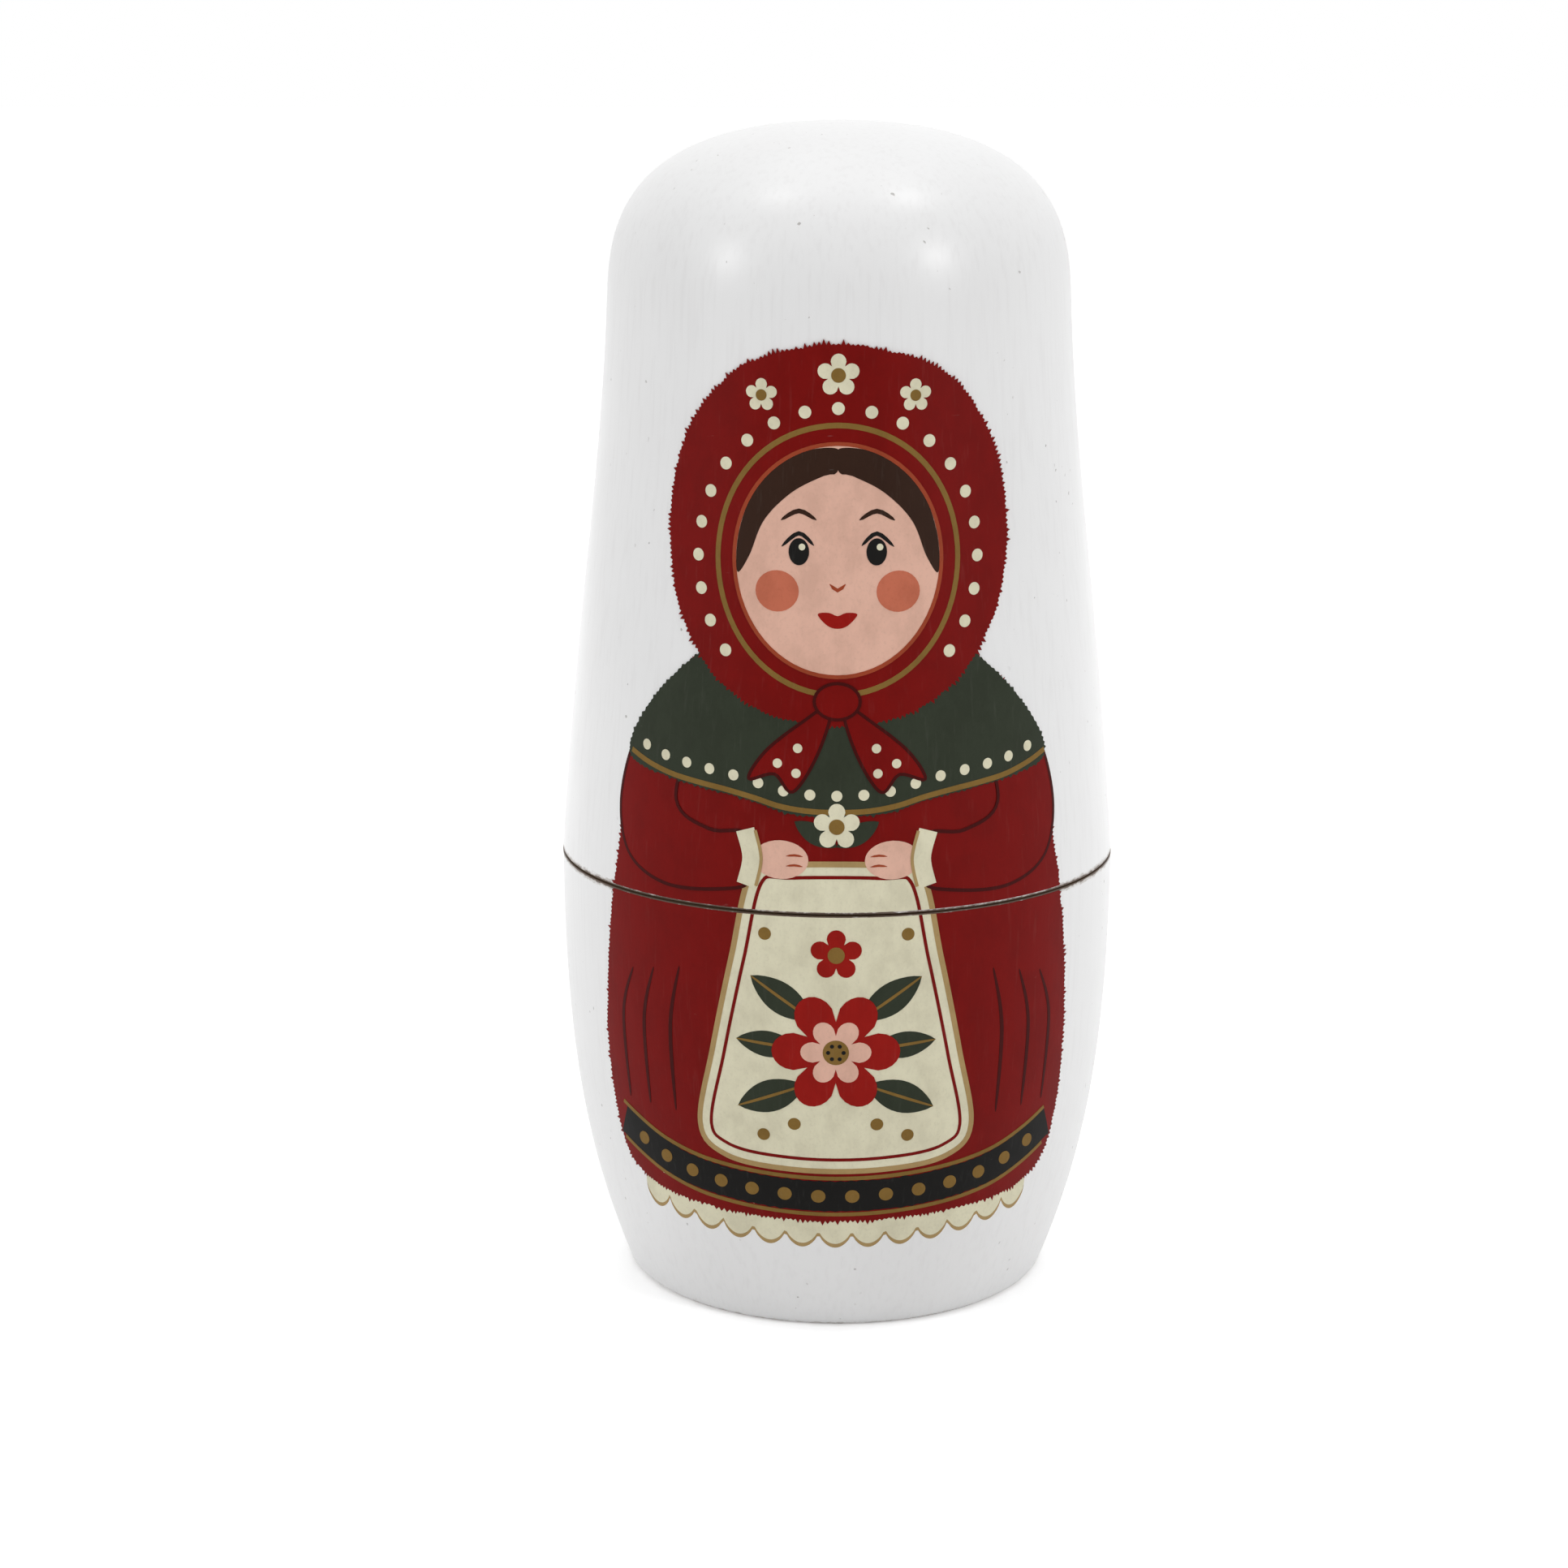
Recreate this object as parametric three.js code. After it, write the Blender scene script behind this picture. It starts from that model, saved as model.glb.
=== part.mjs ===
// A set of wooden nesting dolls: four hollow dolls, each turned as a top half and a bottom half, one inside
// the other, and a solid smallest doll in the middle.
// Millimetres, +Z up. The origin is the middle of the outer doll's foot, and the painted front faces -Y.
import * as THREE from "three";

// Outside of the outer doll
const dollHeight = 158.75;
const dollDiameter = 76.2; // at the seam, where the doll is widest
const seamHeight = 60;
const footDiameter = 58.2; // where the wall would meet the table if the foot had no round
const footRound = 1.2;
const shoulderDiameter = 62.1;
const crownHeight = 22.65; // from the shoulder up to the top

// How far the wall leans outwards for each millimetre up
const footLean = 0.39;
const seamLean = -0.07; // just above the seam; just below it the wall is upright
const shoulderLean = -0.05;

// How far each curve of the outside keeps to its end's direction: the larger, the fuller the curve
const footHandle = 18.8;
const bellyHandle = 24.3;
const chestHandle = 35.5;
const neckHandle = 26.9;
const crownSideHandle = 7.7;
const crownTopHandle = 29.9;

// Hollow dolls from the outside in: wall of each half, floor under the hollow, roof over it, and height of
// the spigot on the bottom half, which the top half's socket slips over
const outerWall = 5;
const outerFloor = 6;
const outerRoof = 7;
const outerSpigot = 9;
const secondWall = 4.4;
const secondFloor = 5.2;
const secondRoof = 6;
const secondSpigot = 7.5;
const thirdWall = 3.8;
const thirdFloor = 4.5;
const thirdRoof = 5.2;
const thirdSpigot = 6.2;
const fourthWall = 3.2;
const fourthFloor = 4;
const fourthRoof = 4.5;
const fourthSpigot = 5;
const hollowDolls = [
  { name: "outer", wall: outerWall, floor: outerFloor, roof: outerRoof, spigot: outerSpigot },
  { name: "second", wall: secondWall, floor: secondFloor, roof: secondRoof, spigot: secondSpigot },
  { name: "third", wall: thirdWall, floor: thirdFloor, roof: thirdRoof, spigot: thirdSpigot },
  { name: "fourth", wall: fourthWall, floor: fourthFloor, roof: fourthRoof, spigot: fourthSpigot },
];
const cavityRound = 2; // where the hollow's wall meets its floor

// Fits
const nestClearance = 2.5; // all round, between a doll's hollow and the widest place of the doll inside it
const standGap = 0.3; // under a doll that stands in a larger one
const seamGap = 0.35; // between the edges of the two halves
const spigotClearance = 0.3; // all round, between spigot and socket
const spigotEndGap = 0.7; // above the spigot, so that the halves meet at the seam

// Facets
const facetSag = 0.15; // how far a round wall's flat facets lie inside the true circle
const wallSteps = 7;
const crownSteps = 9;
const hollowSteps = 4;
const roundSteps = 2;

const paintedWood = { color: 0xf1f1f1, roughness: 0.42, metalness: 0 };

const at = (radius, height) => new THREE.Vector2(radius, height);

// The point a length further along a line that leans outwards
function upTheLean(start, lean, length) {
  return at(lean, 1).setLength(Math.abs(length)).multiplyScalar(Math.sign(length)).add(start);
}

// The curves of a doll's outside from foot to top, at a share of the outer doll's size
function outsideCurves(scale) {
  const toe = at(footDiameter / 2 - footRound, 0);
  const corner = at(footDiameter / 2, 0);
  const foot = at(footDiameter / 2 + footLean * footRound, footRound);
  const seam = at(dollDiameter / 2, seamHeight);
  const shoulder = at(shoulderDiameter / 2, dollHeight - crownHeight);
  const top = at(0, dollHeight);
  const sized = (points) => points.map((point) => point.clone().multiplyScalar(scale));
  const bezier = (...points) => new THREE.CubicBezierCurve(...sized(points));
  return {
    round: new THREE.QuadraticBezierCurve(...sized([toe, corner, foot])),
    belly: bezier(foot, upTheLean(foot, footLean, footHandle), upTheLean(seam, 0, -bellyHandle), seam),
    chest: bezier(
      seam,
      upTheLean(seam, seamLean, chestHandle),
      upTheLean(shoulder, shoulderLean, -neckHandle),
      shoulder,
    ),
    crown: bezier(
      shoulder,
      upTheLean(shoulder, shoulderLean, crownSideHandle),
      at(crownTopHandle, dollHeight),
      top,
    ),
  };
}

// The curve's radius at a height, found by halving the stretch that holds it
function radiusAt(curve, height) {
  const halvings = 40;
  let low = 0;
  let high = 1;
  for (let i = 0; i < halvings; i++) {
    const middle = (low + high) / 2;
    if (curve.getPoint(middle).y < height) low = middle;
    else high = middle;
  }
  return curve.getPoint(low).x;
}

// A curve's points from one height up to another
function wallBetween(curve, fromHeight, toHeight, steps, inset = 0) {
  return Array.from({ length: steps + 1 }, (_, i) => {
    const height = THREE.MathUtils.lerp(fromHeight, toHeight, i / steps);
    return at(radiusAt(curve, height) - inset, height);
  });
}

// Every size of one doll that both of its halves and the doll inside it need
function sizesOf(radius, doll) {
  const scale = radius / (dollDiameter / 2);
  const curves = outsideCurves(scale);
  const lip = (doll.wall - spigotClearance) / 2;
  return {
    ...doll,
    curves,
    seam: seamHeight * scale,
    shoulder: (dollHeight - crownHeight) * scale,
    ceiling: dollHeight * scale - doll.roof,
    crownScale: (crownHeight * scale - doll.roof) / crownHeight,
    bore: radius - doll.wall,
    socket: radius - lip,
    spigotRadius: radius - lip - spigotClearance,
    facets: facetsOf(radius),
  };
}

// Facets round a wall, a multiple of four so that the widest points lie on the axes
function facetsOf(radius) {
  return 4 * Math.ceil(Math.PI / Math.acos(1 - facetSag / radius) / 4);
}

function turned(name, profile, facets) {
  const geometry = new THREE.LatheGeometry(profile, facets);
  geometry.rotateX(Math.PI / 2);
  const mesh = new THREE.Mesh(geometry, new THREE.MeshStandardMaterial(paintedWood));
  mesh.name = name;
  return mesh;
}

// Bottom half: foot, belly, the edge at the seam, the spigot, and the hollow down to its floor
function bottomHalf(doll) {
  const { curves, seam, floor, wall, bore } = doll;
  const spigotTop = seam + doll.spigot;
  const hollowWall = wallBetween(curves.belly, floor + cavityRound, seam, hollowSteps, wall).reverse();
  const floorEdge = radiusAt(curves.belly, floor) - wall;
  const cavityCorner = new THREE.QuadraticBezierCurve(
    hollowWall.at(-1),
    at(floorEdge, floor),
    at(floorEdge - cavityRound, floor),
  );
  return turned(
    `${doll.name}_bottom_half`,
    [
      at(0, 0),
      ...curves.round.getPoints(roundSteps),
      ...curves.belly.getPoints(wallSteps).slice(1),
      at(doll.spigotRadius, seam),
      at(doll.spigotRadius, spigotTop),
      at(bore, spigotTop),
      ...hollowWall,
      ...cavityCorner.getPoints(roundSteps).slice(1),
      at(0, floor),
    ],
    doll.facets,
  );
}

// Top half: the domed hollow, the socket for the spigot, the edge at the seam, and the outside up to the top
function topHalf(doll) {
  const { curves, seam, shoulder, ceiling, wall, socket, crownScale } = doll;
  const rim = seam + seamGap;
  const socketTop = seam + doll.spigot + spigotEndGap;
  const chestHollow = wallBetween(curves.chest, socketTop, shoulder, hollowSteps, wall);
  const spring = chestHollow.at(-1);
  const dome = new THREE.CubicBezierCurve(
    spring,
    upTheLean(spring, shoulderLean, crownSideHandle * crownScale),
    at((spring.x * crownTopHandle * 2) / shoulderDiameter, ceiling),
    at(0, ceiling),
  );
  return turned(
    `${doll.name}_top_half`,
    [
      ...dome.getPoints(crownSteps).reverse(),
      ...chestHollow.slice(0, -1).reverse(),
      at(socket, socketTop),
      at(socket, rim),
      ...wallBetween(curves.chest, rim, shoulder, wallSteps),
      ...curves.crown.getPoints(crownSteps).slice(1),
    ],
    doll.facets,
  );
}

// The smallest doll is one solid piece
function solidDoll(name, radius) {
  const { round, belly, chest, crown } = outsideCurves(radius / (dollDiameter / 2));
  return turned(
    name,
    [
      at(0, 0),
      ...round.getPoints(roundSteps),
      ...belly.getPoints(wallSteps).slice(1),
      ...chest.getPoints(wallSteps).slice(1),
      ...crown.getPoints(crownSteps).slice(1),
    ],
    facetsOf(radius),
  );
}

// Each doll's group holds its two halves and, standing on its floor, the group of the next smaller doll
function nest(radius, [doll, ...smaller]) {
  const group = new THREE.Group();
  if (!doll) {
    group.add(solidDoll("smallest_doll", radius));
    return group;
  }
  const sizes = sizesOf(radius, doll);
  const inside = nest(sizes.bore - nestClearance, smaller);
  inside.position.z = doll.floor + standGap;
  group.add(bottomHalf(sizes), topHalf(sizes), inside);
  return group;
}

export default nest(dollDiameter / 2, hollowDolls);
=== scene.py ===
import math
import random

import bmesh
import bpy
import numpy as np
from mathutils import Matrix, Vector


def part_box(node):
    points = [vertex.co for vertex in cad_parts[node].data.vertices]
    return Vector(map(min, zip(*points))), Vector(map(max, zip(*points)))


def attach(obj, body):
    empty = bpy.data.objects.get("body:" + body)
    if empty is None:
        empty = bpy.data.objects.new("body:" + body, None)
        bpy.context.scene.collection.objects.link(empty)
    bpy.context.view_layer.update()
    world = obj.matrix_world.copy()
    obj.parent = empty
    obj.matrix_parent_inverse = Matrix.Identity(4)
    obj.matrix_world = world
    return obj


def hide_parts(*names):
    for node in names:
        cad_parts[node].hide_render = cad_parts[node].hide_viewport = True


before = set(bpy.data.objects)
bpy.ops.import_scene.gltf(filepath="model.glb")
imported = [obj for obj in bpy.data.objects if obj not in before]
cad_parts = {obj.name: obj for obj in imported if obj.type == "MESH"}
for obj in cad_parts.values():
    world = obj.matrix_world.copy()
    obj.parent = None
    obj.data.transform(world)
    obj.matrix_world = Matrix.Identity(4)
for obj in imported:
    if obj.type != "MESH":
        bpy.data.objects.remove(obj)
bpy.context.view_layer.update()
print("frame:", len(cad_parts), "turned pieces")

mm = 0.001


def srgb(red, green, blue):  # 8-bit colour as it looks, to the linear colour that a shader takes
    parts = [value / 255 for value in (red, green, blue)]
    return tuple(p / 12.92 if p <= 0.04045 else ((p + 0.055) / 1.055) ** 2.4 for p in parts) + (1.0,)


def addObject(name, data):
    made = bpy.data.objects.new(name, data)
    bpy.context.scene.collection.objects.link(made)
    return made


def pointAlong(thing, direction):  # turns a camera or a lamp
    thing.rotation_euler = direction.to_track_quat("-Z", "Y").to_euler()


# camera at the photograph's viewing angle

viewpoint = {
    "place": (0, -431.6, 171.8),  # mm from the middle of the foot
    "yaw": 0.976,  # degrees to the left
    "pitch": 13.485,  # degrees down
    "lens": 73.3,
    "sensor": 36,
    "nearest": 0.01,  # m, where the view starts
}


def setUpCamera():
    camera = addObject("camera", bpy.data.cameras.new("camera"))
    camera.data.lens = viewpoint["lens"]
    camera.data.sensor_width = viewpoint["sensor"]
    camera.data.clip_start = viewpoint["nearest"]
    camera.location = Vector(viewpoint["place"]) * mm
    yaw = math.radians(viewpoint["yaw"])
    pitch = math.radians(viewpoint["pitch"])
    level = math.cos(pitch)
    pointAlong(camera, Vector((-math.sin(yaw) * level, math.cos(yaw) * level, -math.sin(pitch))))
    bpy.context.scene.camera = camera


setUpCamera()
print("camera: set")


# shader building

class Wire:  # an output socket that can be reckoned with
    def __init__(self, board, socket):
        self.board = board
        self.socket = socket

    def reckon(self, operation, *terms):
        return self.board.node("ShaderNodeMath", {"operation": operation}, dict(enumerate(terms)))

    def __add__(self, other):
        return self.reckon("ADD", self, other)

    def __radd__(self, other):
        return self.reckon("ADD", other, self)

    def __sub__(self, other):
        return self.reckon("SUBTRACT", self, other)

    def __rsub__(self, other):
        return self.reckon("SUBTRACT", other, self)

    def __mul__(self, other):
        return self.reckon("MULTIPLY", self, other)

    def __rmul__(self, other):
        return self.reckon("MULTIPLY", other, self)

    def over(self, start, end):  # 0 up to start, 1 from end
        settings = {"interpolation_type": "SMOOTHSTEP"}
        return self.board.node("ShaderNodeMapRange", settings, {"Value": self, 1: start, 2: end})


class Board:  # a node tree
    def __init__(self, tree):
        self.tree = tree

    def node(self, kind, settings, sockets, out=0):
        made = self.tree.nodes.new(kind)
        for name, value in settings.items():
            setattr(made, name, value)
        for key, value in sockets.items():
            self.plug(self.find(made.inputs, key), value)
        return Wire(self, self.find(made.outputs, out))

    def find(self, sockets, key):
        if isinstance(key, int):
            return sockets[key]
        return next(s for s in sockets if key in (s.identifier, s.name))

    def plug(self, socket, value):
        if isinstance(value, Wire):
            self.tree.links.new(value.socket, socket)
        else:
            socket.default_value = value

    def mix(self, share, first, second, blend="MIX"):
        settings = {"data_type": "RGBA", "blend_type": blend}
        sockets = {"Factor_Float": share, "A_Color": first, "B_Color": second}
        return self.node("ShaderNodeMix", settings, sockets, "Result_Color")

    def seen(self):  # 1 for what the camera sees, also in gloss and through glass
        paths = ("Is Camera Ray", "Is Glossy Ray", "Is Transmission Ray")
        camera, glossy, through = [self.node("ShaderNodeLightPath", {}, {}, path) for path in paths]
        return camera.reckon("MAXIMUM", camera, camera.reckon("MAXIMUM", glossy, through))


class Finish(Board):  # a material with one principled shader
    def __init__(self, name, **fixed):
        self.material = bpy.data.materials.new(name)
        self.material.use_nodes = True
        super().__init__(self.material.node_tree)
        self.shader = self.tree.nodes["Principled BSDF"]
        self.shade(**fixed)

    def place(self, stretch):  # the piece's own coordinates, times so many per metre along each axis
        own = self.node("ShaderNodeTexCoord", {}, {}, "Object")
        return self.node("ShaderNodeVectorMath", {"operation": "MULTIPLY"}, {0: own, 1: stretch})

    def noise(self, stretch, detail, roughness=0.5):
        sockets = {"Vector": self.place(stretch), "Scale": 1.0, "Detail": detail, "Roughness": roughness}
        return self.node("ShaderNodeTexNoise", {}, sockets, "Fac")

    def attribute(self, name, out):
        return self.node("ShaderNodeAttribute", {"attribute_name": name}, {}, out)

    def bump(self, height, distance, strength):
        sockets = {"Height": height, "Distance": distance, "Strength": strength}
        return self.node("ShaderNodeBump", {}, sockets)

    def shade(self, **sockets):
        for name, value in sockets.items():
            self.plug(self.shader.inputs[name.replace("_", " ")], value)
        return self.material


# finishes; a grain is how many waves of noise there are per metre along each axis

whitePaint = {
    "colour": srgb(241, 241, 241),
    "thin": srgb(228, 227, 227),  # where the brush left the coat thin
    "speck": srgb(128, 120, 114),
    "rubbed": srgb(176, 168, 160),  # edges at the seam and the foot
    "bareEdge": srgb(84, 66, 52),  # where the seam's edge is worn through
    "streakGrain": (1500, 1500, 36),
    "cloudGrain": (40, 40, 30),
    "speckGrain": (1500, 1500, 1200),
    "speckPatches": (140, 140, 110),
    "rubbedGrain": (700, 700, 1500),
    "peelGrain": (700, 700, 260),
    "roughness": 0.31,
    "relief": 0.00002,  # m
}


def makeWhitePaint():
    look = whitePaint
    finish = Finish(
        "white_satin_paint",
        IOR=1.46,
        Specular_IOR_Level=0.46,
        Coat_Weight=0.03,
        Coat_Roughness=0.22,
    )
    streaks = finish.noise(look["streakGrain"], detail=3, roughness=0.6)
    clouds = finish.noise(look["cloudGrain"], detail=2)
    patches = finish.noise(look["speckPatches"], detail=1).over(0.5, 0.62)
    specks = finish.noise(look["speckGrain"], detail=0).over(0.81, 0.85) * patches
    rubbed = finish.noise(look["rubbedGrain"], detail=3, roughness=0.7)
    peel = finish.noise(look["peelGrain"], detail=2)
    wearAndSeamShade = finish.attribute("wearAndSeamShade", "Fac")
    thin = streaks.over(0.45, 0.75) * 0.32 + clouds.over(0.45, 0.7) * 0.22
    colour = finish.mix(thin, look["colour"], look["thin"])
    colour = finish.mix(specks * 0.6, colour, look["speck"])
    colour = finish.mix((wearAndSeamShade * 0.75 + rubbed).over(0.72, 1.02) * 0.7, colour, look["rubbed"])
    colour = finish.mix((wearAndSeamShade + rubbed * 0.8).over(1.08, 1.24), colour, look["bareEdge"])
    return finish.shade(
        Base_Color=colour,
        Roughness=look["roughness"] + clouds * 0.04 + wearAndSeamShade * 0.12,
        Normal=finish.bump(streaks * 0.4 + peel * 0.6, look["relief"], strength=0.5),
    )


bareWood = {
    "early": srgb(222, 194, 153),
    "late": srgb(196, 160, 115),
    "pore": srgb(150, 112, 74),
    "grimeAndSeamShade": srgb(58, 42, 31),  # dirt and painted shade of the gap between the halves, on the wood edges that meet at the seam
    "fibreGrain": (420, 420, 14),
    "bandGrain": (70, 70, 5),
    "poreGrain": (2600, 2600, 90),
    "gougeGrain": (6, 6, 2400),  # rings that the turning gouge left
    "roughness": 0.58,
    "relief": 0.00012,  # m
}


def makeBareWood():
    look = bareWood
    finish = Finish("bare_limewood", IOR=1.45)
    fibres = finish.noise(look["fibreGrain"], detail=4, roughness=0.6)
    bands = finish.noise(look["bandGrain"], detail=2)
    pores = finish.noise(look["poreGrain"], detail=1).over(0.66, 0.74)
    rings = finish.noise(look["gougeGrain"], detail=1)
    colour = finish.mix(bands.over(0.35, 0.7), look["early"], look["late"])
    colour = finish.mix(fibres.over(0.5, 0.8) * 0.5, colour, look["late"])
    colour = finish.mix(pores * 0.45, colour, look["pore"])
    # dirt and painted shade on the wood edges at the seam, where the gap between the halves lies in shade
    colour = finish.mix(finish.attribute("wearAndSeamShade", "Fac") * 0.9, colour, look["grimeAndSeamShade"])
    return finish.shade(
        Base_Color=colour,
        Roughness=look["roughness"] + fibres * 0.2,
        Normal=finish.bump(rings * 0.7 - pores * 0.5 + fibres * 0.3, look["relief"], strength=0.6),
    )


brushedPaint = {  # its own colour is on the mesh
    "shadow": (0.7, 0.68, 0.66, 1),  # what a full brush leaves of that colour
    "chalk": (0.9, 0.86, 0.8, 1),
    "scuff": (0.8, 0.78, 0.74, 1),
    "mottleGrain": (240, 240, 170),
    "strokeGrain": (1700, 1700, 130),
    "gritGrain": (2600, 2600, 2200),
    "scuffGrain": (300, 300, 1400),
    "roughness": 0.4,
    "relief": 0.00004,  # m
}


def makeFigurePaint():
    look = brushedPaint
    finish = Finish("figure_paint", IOR=1.46, Specular_IOR_Level=0.09)
    own = finish.attribute("paint", "Color")
    mottle = finish.noise(look["mottleGrain"], detail=4, roughness=0.65)
    strokes = finish.noise(look["strokeGrain"], detail=3, roughness=0.6)
    grit = finish.noise(look["gritGrain"], detail=2, roughness=0.7)
    scuffs = finish.noise(look["scuffGrain"], detail=2, roughness=0.7).over(0.74, 0.82)
    darker = finish.mix(1.0, own, look["shadow"], "MULTIPLY")
    lighter = finish.mix(0.04, own, look["chalk"])
    colour = finish.mix(mottle.over(0.35, 0.7) * 0.45, own, darker)
    colour = finish.mix(grit.over(0.5, 0.75) * 0.25, colour, darker)
    colour = finish.mix(strokes.over(0.55, 0.8) * 0.3, colour, lighter)
    colour = finish.mix(scuffs * 0.05, colour, look["scuff"])
    return finish.shade(
        Base_Color=colour,
        Roughness=look["roughness"] + strokes * 0.16,
        Normal=finish.bump(strokes * 0.7 + mottle * 0.3, look["relief"], strength=0.5),
    )


white = makeWhitePaint()
wood = makeBareWood()
figurePaint = makeFigurePaint()
print("finishes:", white.name, wood.name, figurePaint.name)


# turned shapes, in mm

dollShape = {  # outside of the outer doll; the smaller dolls are the same shape, scaled
    "height": 158.75,
    "diameter": 76.2,  # at the seam
    "seam": 60,
    "foot": 58.2,
    "footRound": 1.2,
    "shoulder": 62.1,
    "crown": 22.65,
    "footLean": 0.39,  # mm outwards for each mm up
    "seamLean": -0.07,
    "shoulderLean": -0.05,
    "footHandle": 18.8,  # how far a curve keeps to its end's direction
    "bellyHandle": 24.3,
    "chestHandle": 35.5,
    "neckHandle": 26.9,
    "crownSideHandle": 7.7,
    "crownTopHandle": 29.9,
}

hollowDolls = {
    "outer": {"wall": 5, "floor": 6, "roof": 7, "facets": 144},
    "second": {"wall": 4.4, "floor": 5.2, "roof": 6, "facets": 128},
    "third": {"wall": 3.8, "floor": 4.5, "roof": 5.2, "facets": 112},
    "fourth": {"wall": 3.2, "floor": 4, "roof": 4.5, "facets": 96},
}
smallestFacets = 80

fits = {
    "spigotClearance": 0.3,
    "spigotEnd": 0.7,
    "spigotChamfer": 0.4,
    "cavityRound": 2,
    "edgeRound": 0.14,  # outer edges at the seam
}

agedEdge = {
    "wearReach": 0.9,  # how far from an edge the paint is rubbed
    "wearRows": (0.25, 0.45, 0.7, 1, 1.3),  # extra points of the outline there, as shares of that reach
    "plainFrom": 1.5,  # where its even points start, as a share of that reach
    "grimeAndShadeStart": 1.5,  # how far in from the wall the dirt and painted gap shade on the seam's edge start, in edge rounds
    "grimeAndShadeReach": 0.9,  # how far in they go on
    "grimeAndSeamShade": ((0, 1.0), (0.5, 0.7), (1, 0.2)),  # share of that reach, and how dark the dirt and painted shade are
    "hang": 0.12,  # how much lower the top half's edge is than its plain outline
    "waves": ((0.06, 1, 1.9), (0.025, 4, 0), (0.015, 11, 2)),  # height, number round the doll, start
    "swayReach": 3.0,  # how far up that is felt
    "sharp": 38,  # degrees at which a corner looks sharp
}

steps = {"wall": 44, "crown": 32, "hollow": 20, "round": 5}


def bezier(points, count):
    share = np.linspace(0, 1, count + 1)[:, None]
    rows = [np.ones_like(share) * np.array(point, float) for point in points]
    while len(rows) > 1:
        rows = [a + (b - a) * share for a, b in zip(rows, rows[1:])]
    return rows[0]


def upTheLean(start, lean, length):
    direction = np.array((lean, 1.0))
    return np.array(start) + direction / np.linalg.norm(direction) * length


def outsideCurves():
    s = dollShape
    toe = (s["foot"] / 2 - s["footRound"], 0)
    corner = (s["foot"] / 2, 0)
    foot = (s["foot"] / 2 + s["footLean"] * s["footRound"], s["footRound"])
    seam = (s["diameter"] / 2, s["seam"])
    shoulder = (s["shoulder"] / 2, s["height"] - s["crown"])
    top = (0, s["height"])
    overFoot = upTheLean(foot, s["footLean"], s["footHandle"])
    underSeam = upTheLean(seam, 0, -s["bellyHandle"])
    overSeam = upTheLean(seam, s["seamLean"], s["chestHandle"])
    underShoulder = upTheLean(shoulder, s["shoulderLean"], -s["neckHandle"])
    overShoulder = upTheLean(shoulder, s["shoulderLean"], s["crownSideHandle"])
    besideTop = (s["crownTopHandle"], s["height"])
    return {
        "round": bezier([toe, corner, foot], steps["round"]),
        "belly": bezier([foot, overFoot, underSeam, seam], steps["wall"]),
        "chest": bezier([seam, overSeam, underShoulder, shoulder], steps["wall"]),
        "crown": bezier([shoulder, overShoulder, besideTop, top], steps["crown"]),
    }


outside = outsideCurves()
outsideLine = np.vstack([outside["round"], *[outside[part][1:] for part in ("belly", "chest", "crown")]])


def measureDoll(name):
    bottom, top = f"{name}_bottom_half", f"{name}_top_half"
    low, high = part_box(bottom)
    doll = dict(hollowDolls[name], name=name, base=low.z / mm, radius=high.x / mm)
    scale = doll["radius"] / (dollShape["diameter"] / 2)
    lip = (doll["wall"] - fits["spigotClearance"]) / 2
    doll.update(
        scale=scale,
        seam=dollShape["seam"] * scale,
        rim=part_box(top)[0].z / mm - doll["base"],
        spigotTop=high.z / mm - doll["base"],
        shoulder=(dollShape["height"] - dollShape["crown"]) * scale,
        ceiling=dollShape["height"] * scale - doll["roof"],
        bore=doll["radius"] - doll["wall"],
        socket=doll["radius"] - lip,
        spigot=doll["radius"] - lip - fits["spigotClearance"],
    )
    return doll


def radiusAt(curve, height):
    return np.interp(height, curve[:, 1], curve[:, 0])


class Profile:  # a turned outline from axis to axis, with what is painted, how rubbed it is, and where dirt and painted shade darken the seam's wood
    def __init__(self):
        self.points = []
        self.painted = []
        self.wearAndSeamShade = []
        self.sway = []  # how far a point follows the uneven edge at the seam

    def line(self, points, painted=False, wearAndSeamShade=0.0, sway=0.0):
        for point in points:
            self.points.append((float(point[0]), float(point[1])))
            self.painted.append(painted)
            self.wearAndSeamShade.append(wearAndSeamShade(point) if callable(wearAndSeamShade) else wearAndSeamShade)
            self.sway.append(sway(point) if callable(sway) else sway)
        return self


def quarterRound(start, corner, end):
    return bezier([start, corner, end], steps["round"])


def rubbedNear(*heights):
    return lambda point: max(max(0, 1 - abs(point[1] - h) / agedEdge["wearReach"]) for h in heights)


def nearEdge(curve, edge, upwards):  # closer points where the paint is rubbed
    heights = [edge + upwards * agedEdge["wearReach"] * share for share in agedEdge["wearRows"]]
    return [(radiusAt(curve, height), height) for height in sorted(heights)]


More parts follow.
